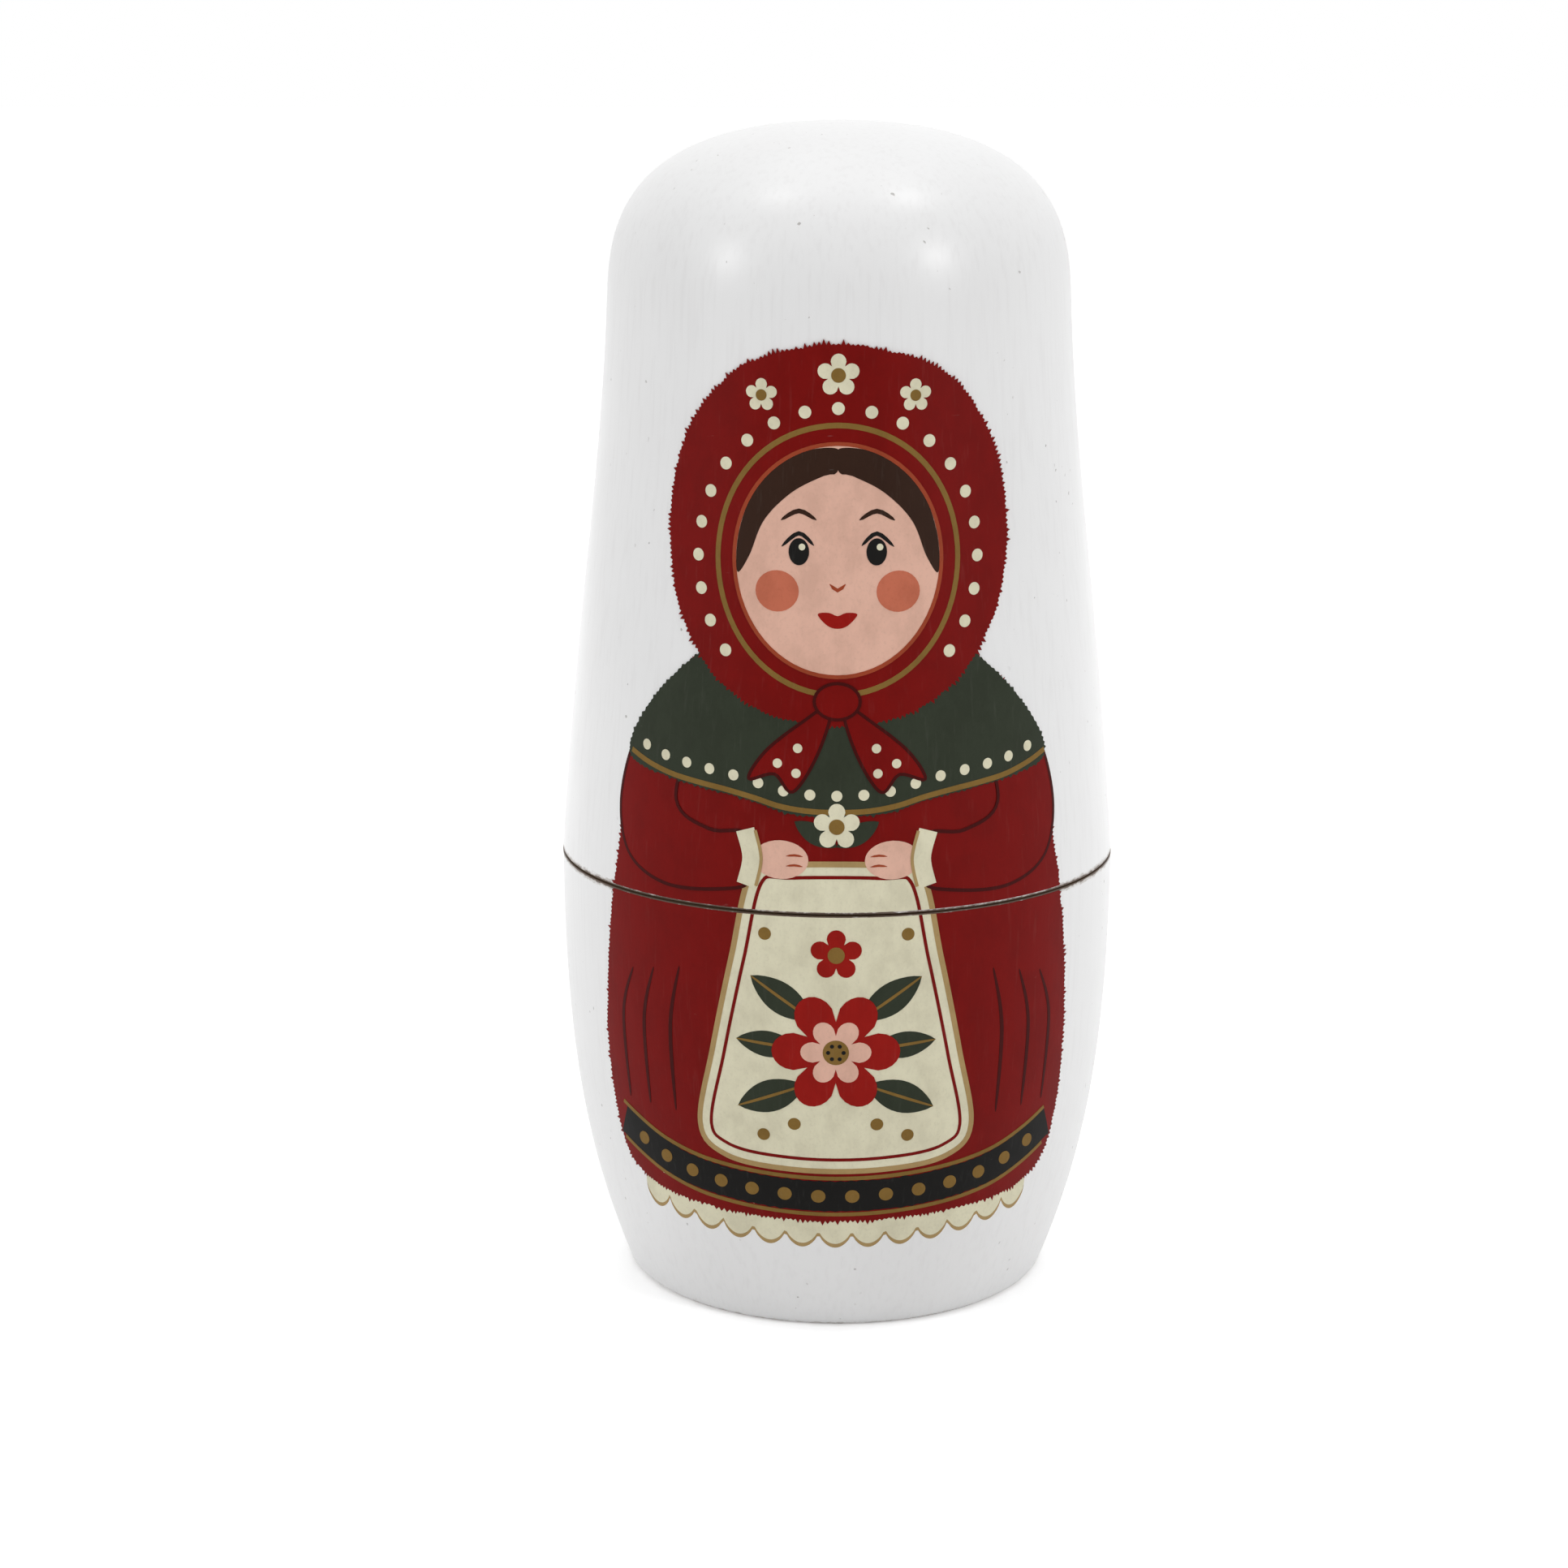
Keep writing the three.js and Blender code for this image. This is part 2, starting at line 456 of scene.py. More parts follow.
def bottomProfile(doll):
    scale, seam, edge, radius = doll["scale"], doll["seam"], fits["edgeRound"], doll["radius"]
    spigot, spigotTop, chamfer = doll["spigot"], doll["spigotTop"], fits["spigotChamfer"]
    belly = outside["belly"] * scale
    plain = belly[1:][belly[1:, 1] < seam - agedEdge["wearReach"] * agedEdge["plainFrom"]]
    rubbed = rubbedNear(seam, 0)
    outline = Profile()
    outline.line([(0, 0), (outside["round"][0][0] * scale - edge, 0)])
    outline.line(outside["round"] * scale, painted=True, wearAndSeamShade=rubbed)
    outline.line(plain, painted=True, wearAndSeamShade=rubbed)
    outline.line(nearEdge(belly, seam, -1), painted=True, wearAndSeamShade=rubbed)
    edgeCurve = quarterRound((radius, seam - edge), (radius, seam), (radius - edge, seam))
    outline.line(edgeCurve, painted=True, wearAndSeamShade=rubbed)
    # dirt and painted shade on the bottom half's ledge at the seam
    for share, grimeAndSeamShade in agedEdge["grimeAndSeamShade"]:
        inwards = edge * agedEdge["grimeAndShadeStart"] + agedEdge["grimeAndShadeReach"] * share
        outline.line([(radius - inwards, seam)], wearAndSeamShade=grimeAndSeamShade)
    outline.line([(spigot, seam), (spigot, seam + edge * 2), (spigot, spigotTop - chamfer)])
    outline.line([(spigot - chamfer, spigotTop), (doll["bore"] + edge, spigotTop)])
    outline.line([(doll["bore"], spigotTop - edge)])
    heights = np.linspace(seam, doll["floor"] + fits["cavityRound"], steps["hollow"])
    hollow = [(radiusAt(belly, h) - doll["wall"], h) for h in heights]
    floorEdge = radiusAt(belly, doll["floor"]) - doll["wall"]
    floorStart = (floorEdge - fits["cavityRound"], doll["floor"])
    outline.line(hollow)
    outline.line(quarterRound(hollow[-1], (floorEdge, doll["floor"]), floorStart)[1:])
    return outline.line([(0, doll["floor"])])


def topProfile(doll):
    scale, rim, edge, socket = doll["scale"], doll["rim"], fits["edgeRound"], doll["socket"]
    chest = outside["chest"] * scale
    rubbed = rubbedNear(rim)
    socketTop = doll["spigotTop"] + fits["spigotEnd"]
    heights = np.linspace(doll["shoulder"], socketTop, steps["hollow"])
    hollow = [(radiusAt(chest, h) - doll["wall"], h) for h in heights]
    spring = hollow[0]
    crownScale = scale - doll["roof"] / dollShape["crown"]
    overSpring = upTheLean(spring, dollShape["shoulderLean"], dollShape["crownSideHandle"] * crownScale)
    besideTop = (spring[0] * dollShape["crownTopHandle"] / (dollShape["shoulder"] / 2), doll["ceiling"])
    dome = bezier([spring, overSpring, besideTop, (0, doll["ceiling"])], steps["hollow"])
    rimRadius = radiusAt(chest, rim)
    overRim = (radiusAt(chest, rim + edge), rim + edge)
    plain = chest[chest[:, 1] > rim + agedEdge["wearReach"] * agedEdge["plainFrom"]]

    def fading(point):
        return max(0, 1 - (point[1] - rim) / agedEdge["swayReach"])

    outline = Profile()
    outline.line(dome[::-1])
    outline.line(hollow[1:])
    outline.line([(socket, socketTop)])
    outline.line([(socket, rim + edge), (socket + edge, rim)], sway=1.0)
    # dirt and painted shade on the top half's edge at the seam
    for share, grimeAndSeamShade in reversed(agedEdge["grimeAndSeamShade"]):
        inwards = edge * agedEdge["grimeAndShadeStart"] + agedEdge["grimeAndShadeReach"] * share
        outline.line([(rimRadius - inwards, rim)], wearAndSeamShade=grimeAndSeamShade, sway=1.0)
    edgeCurve = quarterRound((rimRadius - edge, rim), (rimRadius, rim), overRim)
    outline.line(edgeCurve, painted=True, wearAndSeamShade=rubbed, sway=1.0)
    outline.line(nearEdge(chest, rim, 1), painted=True, wearAndSeamShade=rubbed, sway=fading)
    outline.line(plain, painted=True, wearAndSeamShade=rubbed, sway=fading)
    return outline.line(outside["crown"][1:] * scale, painted=True)


def solidProfile(scale):
    outline = Profile()
    outline.line([(0, 0), (outside["round"][0][0] * scale - fits["edgeRound"], 0)])
    return outline.line(outsideLine * scale, painted=True, wearAndSeamShade=rubbedNear(0))


def unevenEdge(angle):  # mm that the top half's edge lies off its plain outline, round the doll
    rise = -agedEdge["hang"]
    for height, number, start in agedEdge["waves"]:
        rise = rise - height * np.sin(number * angle + start)
    return rise


def turn(name, outline, base, facets):  # spins an outline round the axis into one closed mesh
    points = np.array(outline.points)
    inner = points[1:-1]
    angles = np.linspace(0, 2 * math.pi, facets, endpoint=False)
    rings = np.empty((len(inner), facets, 3))
    rings[:, :, 0] = inner[:, :1] * np.cos(angles)
    rings[:, :, 1] = inner[:, :1] * np.sin(angles)
    rings[:, :, 2] = inner[:, 1:] + base + np.outer(outline.sway[1:-1], unevenEdge(angles))
    start, end = [(0, 0, points[i][1] + base) for i in (0, -1)]
    verts = np.vstack([start, rings.reshape(-1, 3), end]) * mm
    around = list(range(facets))
    pairs = list(zip(around, around[1:] + around[:1]))
    faces = [(0, 1 + b, 1 + a) for a, b in pairs]
    for row in range(len(inner) - 1):
        low, high = 1 + row * facets, 1 + (row + 1) * facets
        faces += [(low + a, low + b, high + b, high + a) for a, b in pairs]
    tip = len(verts) - 1
    faces += [(tip - facets + a, tip - facets + b, tip) for a, b in pairs]
    painted = np.array(outline.painted)
    bare = np.repeat(~(painted[:-1] & painted[1:]), facets)
    wearAndSeamShade = np.concatenate([outline.wearAndSeamShade[:1], np.repeat(outline.wearAndSeamShade[1:-1], facets), outline.wearAndSeamShade[-1:]])
    mesh = bpy.data.meshes.new(name)
    mesh.from_pydata(verts.tolist(), [], faces)
    mesh.materials.append(white)
    mesh.materials.append(wood)
    mesh.polygons.foreach_set("material_index", bare.astype(np.int32))
    # how rubbed the paint is, and how dark the dirt and painted gap shade make the wood at the seam
    mesh.attributes.new("wearAndSeamShade", "FLOAT", "POINT").data.foreach_set("value", wearAndSeamShade.astype(np.float32))
    mesh.shade_smooth()
    mesh.set_sharp_from_angle(angle=math.radians(agedEdge["sharp"]))
    return addObject(name, mesh)


def addTurnedPiece(name, outline, doll, body, node):
    piece = turn(name, outline, doll["base"], doll["facets"])
    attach(piece, body)
    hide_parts(node)


dolls = {name: measureDoll(name) for name in hollowDolls}
for name, doll in dolls.items():
    for half, profile in (("bottom", bottomProfile), ("top", topProfile)):
        body = f"{name}_{half}"
        addTurnedPiece(f"{body}_shell", profile(doll), doll, body, f"{body}_half")

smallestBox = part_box("smallest_doll")
smallest = {
    "name": "smallest",
    "base": smallestBox[0].z / mm,
    "scale": smallestBox[1].x / mm / (dollShape["diameter"] / 2),
    "facets": smallestFacets,
}
addTurnedPiece("smallest_doll_turned", solidProfile(smallest["scale"]), smallest, "smallest", "smallest_doll")
print("turned pieces:", 2 * len(dolls) + 1)


# painted figure: outlines on the front of the outer doll, in mm round the doll from the middle, and mm up

paints = {
    "red": srgb(120, 13, 10),
    "brightRed": srgb(152, 24, 18),
    "darkRed": srgb(66, 10, 9),
    "cream": srgb(230, 225, 197),
    "tan": srgb(176, 148, 100),
    "black": srgb(22, 21, 20),
    "gold": srgb(134, 104, 52),
    "green": srgb(50, 56, 44),
    "pink": srgb(232, 186, 166),
    "cheek": srgb(200, 112, 86),
    "line": srgb(158, 70, 44),
    "hair": srgb(50, 31, 22),
}

brush = {
    "tip": 0.15,  # share of a tapered stroke's width left at its ends
    "shortHair": 0.25,  # shortest bristle mark at a dry edge, as a share of the longest
    "wander": 0.45,  # how far a dry edge wanders, as a share of the bristle marks
    "wanderReach": 6,  # points either way that this is evened out over
    "ringParts": 4,  # strokes in a ring
    "dotPoints": 28,
    "petalPoints": 12,
    "petalRoot": 0.5,  # share of a flower's reach between its petals
    "lobe": 0.6,  # petals and loops: lower is rounder
    "leafPoints": 14,
    "leafEnds": 0.8,  # lower is rounder
}


def through(points, spacing=0.8, closed=True):  # smooth curve through a few points
    points = [np.array(point, float) for point in points]
    count = len(points)
    spans = count if closed else count - 1

    def pick(i):
        return points[i % count] if closed else points[min(max(i, 0), count - 1)]

    result = []
    for i in range(spans):
        a, b, c, d = pick(i - 1), pick(i), pick(i + 1), pick(i + 2)
        square, cube = 2 * a - 5 * b + 4 * c - d, 3 * b - a - 3 * c + d
        parts = max(2, math.ceil(np.linalg.norm(c - b) / spacing))
        for t in np.linspace(0, 1, parts, endpoint=False):
            result.append(0.5 * (2 * b + (c - a) * t + square * t**2 + cube * t**3))
    if not closed:
        result.append(points[-1])
    return np.array(result)


def flipped(points):
    return [(-a, z) for a, z in points]


def bothSides(right):  # one line from its right half, listed downwards, and up again on the left
    return list(right) + flipped(right)[::-1]


def eachSide(points):
    return [list(points), flipped(points)]


def lengthsAlong(line):
    return np.concatenate([[0], np.cumsum(np.linalg.norm(np.diff(line, axis=0), axis=1))])


def spaced(line, gap, closed=False):  # points at even gaps along a line
    if closed:
        line = np.vstack([line, line[:1]])
    length = lengthsAlong(line)
    count = max(1, round(length[-1] / gap))
    at = np.linspace(0, length[-1], count if closed else count + 1, endpoint=not closed)
    return np.stack([np.interp(at, length, line[:, 0]), np.interp(at, length, line[:, 1])], 1)


def normals(line, closed):
    if closed:
        along = np.roll(line, -1, 0) - np.roll(line, 1, 0)
    else:
        along = np.gradient(line, axis=0)
    along /= np.maximum(np.linalg.norm(along, axis=1, keepdims=True), 1e-9)
    return np.stack([along[:, 1], -along[:, 0]], 1)


def turning(outline):  # 1 where normals point outwards, or -1
    a, z = outline[:, 0], outline[:, 1]
    return 1 if np.sum(a * np.roll(z, -1) - np.roll(a, -1) * z) > 0 else -1


def oval(a, z, across, up, count=brush["dotPoints"]):
    angle = np.linspace(0, 2 * math.pi, count, endpoint=False)
    return np.stack([a + across * np.cos(angle), z + up * np.sin(angle)], 1)


def dots(spots, radius, count=brush["dotPoints"]):
    return [oval(a, z, radius, radius, count) for a, z in spots]


def blossom(a, z, size, petals):  # one outline with a round lobe for each petal
    angle = np.linspace(0, 2 * math.pi, petals * brush["petalPoints"], endpoint=False)
    root = brush["petalRoot"]
    reach = size * (root + (1 - root) * np.abs(np.sin(angle * petals / 2)) ** brush["lobe"])
    return np.stack([a + reach * np.sin(angle), z - reach * np.cos(angle)], 1)


def leaf(start, end, width):
    start, end = np.array(start, float), np.array(end, float)
    share = np.linspace(0, 1, brush["leafPoints"])
    along = end - start
    side = np.array((along[1], -along[0])) / np.linalg.norm(along)
    half = width / 2 * np.sin(math.pi * share) ** brush["leafEnds"]
    line = start + share[:, None] * along
    return np.vstack([line + half[:, None] * side, (line - half[:, None] * side)[-2:0:-1]])


def scalloped(points, drop, pitch, lower, rise):  # a strip whose lower edge hangs in loops
    line = through(points, spacing=0.35, closed=False)
    length = lengthsAlong(line)
    loops = round(length[-1] / pitch)
    hang = lower + drop * np.abs(np.sin(math.pi * loops * length / length[-1])) ** brush["lobe"]
    return np.vstack([line - hang[:, None] * (0, 1), line[::-1] + (0, rise)])


def stroke(points, width, taper=True):  # an open brush stroke
    line = through(points, spacing=0.7, closed=False)
    share = np.linspace(0, 1, len(line))
    full = np.ones_like(share)
    if taper:
        full = np.sin(math.pi * share) ** 0.5 * (1 - brush["tip"]) + brush["tip"]
    out = normals(line, closed=False) * (width / 2 * full)[:, None]
    return np.vstack([line + out, (line - out)[::-1]])


def band(outline, width, inset=0.0):  # a ring of even width along a closed outline, as short joined strokes
    line = outline - normals(outline, closed=True) * inset * turning(outline)
    out = normals(line, closed=True) * width / 2
    size = math.ceil(len(line) / brush["ringParts"])
    starts = range(0, len(line), size)
    right, left = [np.vstack([edge, edge[:1]]) for edge in (line + out, line - out)]
    return [np.vstack([right[i : i + size + 1], left[i : i + size + 1][::-1]]) for i in starts]


def bristled(outline, depth, seed):  # an edge left by a dry brush
    draw = random.Random(seed)
    short, reach = brush["shortHair"], brush["wanderReach"]
    hairs = np.array([(i % 2) * (short + (1 - short) * draw.random() ** 2) for i in range(len(outline))])
    wander = np.array([draw.gauss(0, 1) for _ in outline])
    wrapped = np.concatenate([wander[-reach:], wander, wander[:reach]])
    span = 2 * reach + 1
    wander = np.convolve(wrapped, np.ones(span) / span, "valid") * depth * brush["wander"]
    return outline + normals(outline, closed=True) * ((hairs * depth + wander) * turning(outline))[:, None]


gownLines = {
    "outline": [
        (9, 96), (19, 92), (27, 83), (31.5, 70), (34.5, 54), (35.5, 40), (34, 27), (29, 20), (14, 17.6),
    ],
    "bristles": 0.75,
    "lace": [(-28.6, 18.6), (-14, 16.4), (0, 15.9), (14, 16.4), (28.6, 18.6)],
    "loops": (2.3, 4.5, 0, 3),  # how far they hang, width, how low they start, how far up the strip goes
    "loopEdge": (2.4, 4.5, 0.5, 3),
    "folds": (22.5, 27, 31),
    "foldPath": ((0.96, 56, -0.2), (1.03, 43, 0), (1, 31, 0)),  # share of its place, height, tilt
    "foldWidth": 0.6,
    "hem": [(-32.6, 27.2), (-20, 22.6), (0, 20.9), (20, 22.6), (32.6, 27.2)],
    "hemWidth": 4.4,
    "hemBristles": 0.2,
    "piping": (-2.7, 2.7),  # mm over the hem's middle
    "pipingWidth": 0.55,
    "pipingSkip": 6,  # takes every sixth point
    "studGap": 4.6,
    "stud": 0.95,
}


def drawGown(add, colours):
    g = gownLines
    add(0, "tan", scalloped(g["lace"], *g["loopEdge"]))
    add(1, "cream", scalloped(g["lace"], *g["loops"]))
    add(2, colours["dress"], bristled(through(bothSides(g["outline"]), spacing=0.3), g["bristles"], seed=3))
    for a in g["folds"]:
        for fold in eachSide([(a * share, z + a * tilt) for share, z, tilt in g["foldPath"]]):
            add(3, colours["fold"], stroke(fold, g["foldWidth"]))
    hem = through(g["hem"], closed=False)
    add(3, "black", bristled(stroke(g["hem"], g["hemWidth"], taper=False), g["hemBristles"], seed=5))
    for shift in g["piping"]:
        add(4, "gold", stroke(hem[:: g["pipingSkip"]] + (0, shift), g["pipingWidth"], taper=False))
    add(4, "gold", *dots(spaced(hem, g["studGap"])[1:-1], g["stud"]))


apronLines = {
    "outline": [(5.5, 66.6), (11, 65.2), (13.8, 54), (16.6, 41), (18.6, 30), (15, 26), (6, 24.8)],
    "edge": 0.75,
    "trim": (0.45, 1.7),  # width, and how far inside the edge
    "leaves": [((3, 46), (11.2, 51.6), 4.2), ((4, 37), (13, 33.4), 4.4), ((4.6, 42), (13.2, 42.8), 3.6)],
    "vein": 0.4,
    "spots": ((9.5, 29.6), (5.4, 31.4), (9.3, 57.4)),
    "spot": 0.85,
    "bud": (0, 54.8),
    "budPetals": (3.4, 5),  # reach and number
    "budHeart": 1.1,
    "bloom": (0, 41.6),
    "bloomPetals": (8.4, 6),
    "innerPetals": (4.6, 6),
    "bloomHeart": 1.7,
    "seedRing": (1, 1, 6),  # half its width and height, number
    "seed": (0.27, 12),  # radius and points
}


def drawApron(add, colours):
    p = apronLines
    apron = through(bothSides(p["outline"]))
    add(3, "cream", apron)
    add(4, "tan", *band(apron, p["edge"]))
    add(4, colours["dress"], *band(apron, *p["trim"]))
    for start, end, width in p["leaves"]:
        for ends in eachSide([start, end]):
            add(4, "green", leaf(*ends, width))
            add(5, "gold", stroke([ends[0], np.mean(ends, 0), ends[1]], p["vein"]))
    for spot in p["spots"]:
        add(4, "gold", *dots([spot, *flipped([spot])], p["spot"]))
    add(4, colours["bloom"], blossom(*p["bud"], *p["budPetals"]))
    add(5, "gold", *dots([p["bud"]], p["budHeart"]))
    add(6, colours["bloom"], blossom(*p["bloom"], *p["bloomPetals"]))
    add(7, "pink", blossom(*p["bloom"], *p["innerPetals"]))
    add(8, "gold", *dots([p["bloom"]], p["bloomHeart"]))
    add(9, "black", *dots(oval(*p["bloom"], *p["seedRing"]), *p["seed"]))


armLines = {
    "sleeve": [
        (20, 84), (28, 82), (32, 73), (30.6, 65.6), (24, 62.4), (15, 62.8), (11.2, 64.4), (11.6, 70.2),
        (17, 70.4), (22, 73.6),
    ],
    "sleeveEdge": 0.45,
    "hand": (7.2, 67.2),
    "handSize": (3.6, 2.5),
    "fingers": (-0.8, 0.5),  # mm over the hand's middle
    "fingerPath": ((0.6, 0), (0.75, 0.15), (0.9, 0)),  # share of the hand's way from the middle, and rise
    "fingerWidth": 0.3,
    "cuff": [(11.8, 63.6), (11, 67.2), (11.9, 70.8)],
    "cuffWidth": 2.5,
    "cuffEdge": (0.885, 0.4),  # its share of the cuff's way from the middle, and width
    "posy": (0, 71.6),
    "posyLeaves": (5.4, -5.4),
    "posyLeaf": (-2.6, 0.6, 2.6),  # its root and tip over the middle, and width
    "posyPetals": (3, 5),
    "posyHeart": 1,
}


def drawArms(add, colours):
    m = armLines
    for sleeve in eachSide(m["sleeve"]):
        add(5, colours["dress"], through(sleeve, spacing=0.6))
        add(6, colours["fold"], *band(through(sleeve), m["sleeveEdge"]))
    for a, z in (m["hand"], *flipped([m["hand"]])):
        add(5, "pink", oval(a, z, *m["handSize"]))
        for lift in m["fingers"]:
            finger = [(a * share, z + lift + rise) for share, rise in m["fingerPath"]]
            add(6, "line", stroke(finger, m["fingerWidth"]))
    inwards, edgeWidth = m["cuffEdge"]
    for cuff in eachSide(m["cuff"]):
        add(7, "cream", stroke(cuff, m["cuffWidth"], taper=False))
        add(8, "tan", stroke([(a * inwards, z) for a, z in cuff], edgeWidth, taper=False))
    a, z = m["posy"]
    root, rise, width = m["posyLeaf"]
    for tip in m["posyLeaves"]:
        add(6, "green", leaf((a, z + root), (a + tip, z + rise), width))
    add(9, "cream", blossom(a, z, *m["posyPetals"]))
    add(10, "gold", *dots([(a, z)], m["posyHeart"]))


shawlLines = {
    "outline": [(8, 97), (18, 93), (26.8, 85), (30.2, 78.6), (24, 76.6), (13, 75), (5, 73.2)],
    "bristles": 0.4,
    "corner": 3,  # the point of the outline where its lower edge starts
    "trimRise": 0.5,  # mm over that edge
    "trimWidth": 0.7,
    "trimSkip": 5,  # takes every fifth point
    "dotRise": 2.1,  # mm over the trim
    "dotGap": 3.4,
    "dot": 0.7,
}


def drawShawl(add, colours):
    w = shawlLines
    add(7, colours["shawl"], bristled(through(bothSides(w["outline"]), spacing=0.4), w["bristles"], seed=7))
    lower = [(a, z + w["trimRise"]) for a, z in w["outline"][w["corner"] :]]
    trim = through(bothSides(lower), closed=False)
    add(8, "gold", stroke(trim[:: w["trimSkip"]], w["trimWidth"], taper=False))
    add(8, "cream", *dots(spaced(trim, w["dotGap"])[1:-1] + (0, w["dotRise"]), w["dot"]))


scarfLines = {
    "outline": [
        (5, 131.6), (13.5, 128.6), (20, 121.5), (23, 112), (22.6, 102.5), (19.5, 94.5), (13, 88), (5, 85),
    ],
    "bristles": 0.75,
    "goldRing": (0, 105.3, 15.7, 16.9, 80),  # middle, half its width and height, points
    "goldWidth": 0.7,
    "dotRing": (0, 105.3, 18.6, 19.0, 88),
    "firstDot": 22,  # the point of the ring that is at the top
    "dotGap": 4.2,
    "dot": 0.8,
    "lowestDot": 93,
    "flowers": ((0, 128.4, 2.7), (9.8, 125.8, 2.1), (-9.8, 125.8, 2.1)),  # middle and reach
    "petals": 5,
    "flowerHeart": 0.34,  # share of that reach
    "tail": [(0.8, 87), (4.6, 84.8), (9.2, 81), (11.4, 77.4), (8, 78.2), (5.6, 76), (2.4, 81)],
    "tailSpots": ((5, 81.6), (7.6, 79.6), (5.2, 78.4)),
    "tailSpot": 0.6,
    "knot": (0, 87.6, 2.9, 2.3),
    "foldWidth": 0.4,
}


def drawScarf(add, colours):
    s = scarfLines
    add(8, colours["scarf"], bristled(through(bothSides(s["outline"]), spacing=0.3), s["bristles"], seed=13))
    add(9, "gold", *band(oval(*s["goldRing"]), s["goldWidth"]))
    ring = spaced(np.roll(oval(*s["dotRing"]), -s["firstDot"], 0), s["dotGap"], closed=True)
    add(9, "cream", *dots([spot for spot in ring if spot[1] > s["lowestDot"]], s["dot"]))
    for a, z, size in s["flowers"]:
        add(9, "cream", blossom(a, z, size, s["petals"]))
        add(10, "gold", *dots([(a, z)], size * s["flowerHeart"]))
    for tail in eachSide(s["tail"]):
        add(9, colours["scarf"], through(tail, spacing=0.6))
        add(10, colours["fold"], *band(through(tail, spacing=0.6), s["foldWidth"]))
    for spot in s["tailSpots"]:
        add(10, "cream", *dots([spot, *flipped([spot])], s["tailSpot"]))
    knot = oval(*s["knot"])
    add(11, colours["scarf"], knot)
    add(12, colours["fold"], *band(knot, s["foldWidth"]))


faceLines = {
    "skin": (0, 105.3, 13.4, 14.6, 72),  # middle, half its width and height, points
    "skinEdge": 0.5,
    "hair": [
        (0.1, 119.3), (5.5, 118.5), (10.2, 114.7), (12.7, 108.8), (13, 103.6), (11.4, 105.6), (9.4, 110.2),
        (5.8, 113.8), (1.8, 115.9), (0.1, 116.4),
    ],
    "brow": [(2.7, 110.4), (4.9, 111.5), (7.2, 110.3)],
    "browWidth": 0.6,
    "lash": [(3.0, 107.2), (4.9, 108.7), (7.1, 107.0)],
    "lashWidth": 0.55,
    "cheek": (7.7, 101.4, 2.8, 2.6),
    "eye": (4.9, 106.4, 1.3, 1.7),
    "glint": (0.4, 107.0, 0.42),  # mm right of the eye's middle, height, radius
    "mouth": [
        (-2.5, 98.6), (-1.1, 98.8), (0, 98.4), (1.1, 98.8), (2.5, 98.6), (1.3, 97.2), (0, 96.8), (-1.3, 97.2),
    ],
    "nose": [(-1.0, 102.4), (0, 101.6), (1.0, 102.4)],
    "noseWidth": 0.5,
}


def drawFace(add, colours):
    f = faceLines
    skin = oval(*f["skin"])
    add(9, "pink", skin)
    add(11, "line", *band(skin, f["skinEdge"]))
    for hair in eachSide(f["hair"]):
        add(10, "hair", through(hair, spacing=0.6))
    for brow in eachSide(f["brow"]):
        add(10, "hair", stroke(brow, f["browWidth"]))
    for lash in eachSide(f["lash"]):
        add(10, "black", stroke(lash, f["lashWidth"]))
    aside, glintHeight, glint = f["glint"]
    for side in (1, -1):
        add(10, "cheek", oval(f["cheek"][0] * side, *f["cheek"][1:]))
        add(11, "black", oval(f["eye"][0] * side, *f["eye"][1:]))
        add(12, "cream", *dots([(f["eye"][0] * side + aside, glintHeight)], glint))
    add(10, "brightRed", through(f["mouth"], spacing=0.4))
    add(10, "line", stroke(f["nose"], f["noseWidth"]))


outerColours = {"scarf": "red", "dress": "red", "fold": "darkRed", "shawl": "green", "bloom": "brightRed"}
otherColours = {  # where a doll differs from the outer one
    "outer": {},
    "second": {"scarf": "green", "shawl": "gold"},
    "third": {"dress": "green", "fold": "black", "shawl": "black"},
    "fourth": {"scarf": "gold"},
    "smallest": {"dress": "green", "fold": "black", "shawl": "gold"},
}

film = {  # mm
    "layers": 13,
    "first": 0.03,  # how proud the first layer is
    "step": 0.02,  # from layer to layer
    "cell": 2.0,  # size of its faces
    "starts": (0.013, 0.37, 0.71, 1.13),  # where the cutting grid may start
    "merge": 1e-5,
    "areaSlack": 0.002,  # share of the area that a cut may lose
    "seamMargin": 0.16,
}


def paintedLayers(colours):  # layers of (paint, outline), the first on the wood
    layers = [[] for _ in range(film["layers"])]

    def add(layer, paint, *outlines):
        layers[layer] += [(paint, outline) for outline in outlines]

    for draw in (drawGown, drawApron, drawArms, drawShawl, drawScarf, drawFace):
        draw(add, colours)
    return layers


def cutAcross(bm, axis, value, **clear):
    across = np.eye(3)[axis]
    every = bm.verts[:] + bm.edges[:] + bm.faces[:]
    plane = {"plane_co": across * value, "plane_no": across}
    bmesh.ops.bisect_plane(bm, geom=every, dist=film["merge"], **plane, **clear)


def areaOf(bm):
    return sum(face.calc_area() for face in bm.faces)


